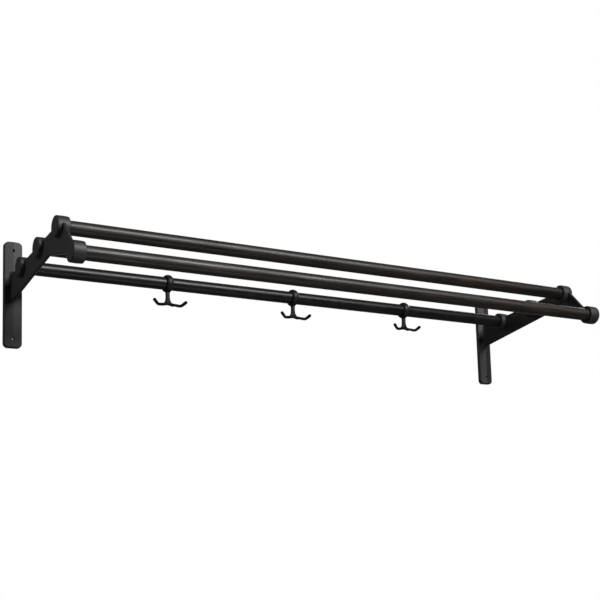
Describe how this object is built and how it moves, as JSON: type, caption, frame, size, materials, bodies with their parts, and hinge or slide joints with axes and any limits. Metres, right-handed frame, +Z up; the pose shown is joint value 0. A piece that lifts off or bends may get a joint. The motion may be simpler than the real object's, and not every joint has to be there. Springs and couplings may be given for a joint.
{
  "type": "hat shelf",
  "caption": "Wall-mounted hat shelf: cast side brackets hold a row of round rods and a lower front hanger rod, with double coat hooks sliding on the rear rail.",
  "frame": {"origin": "on the wall plane, midway between the four screw holes", "axes": "+X along the rods to the right as seen from the room, -Y out from the wall into the room, +Z up"},
  "size_m": [1.011, 0.3208, 0.175],
  "materials": {
    "casting": "fine-textured black powder coat on cast metal",
    "rail": "satin black lacquered steel tube",
    "rods": "black-stained wood, satin lacquer",
    "hooks": "black powder coat on cast metal"
  },
  "bodies": {
    "shelf": {"left_bracket": "casting", "right_bracket": "casting", "hook_rail": "rail", "back_shelf_rod": "rods", "front_shelf_rod": "rods", "hanger_rod": "rods"},
    "left_hook": {"hook_left": "hooks"},
    "middle_hook": {"hook_middle": "hooks"},
    "right_hook": {"hook_right": "hooks"}
  },
  "joints": [
    {"name": "left_hook_slide", "type": "slide", "parent": "shelf", "child": "left_hook", "axis": [1, 0, 0], "range_m": [-0.204, 0.05]},
    {"name": "middle_hook_slide", "type": "slide", "parent": "shelf", "child": "middle_hook", "axis": [1, 0, 0], "range_m": [-0.129, 0.125]},
    {"name": "right_hook_slide", "type": "slide", "parent": "shelf", "child": "right_hook", "axis": [1, 0, 0], "range_m": [-0.054, 0.2]}
  ]
}
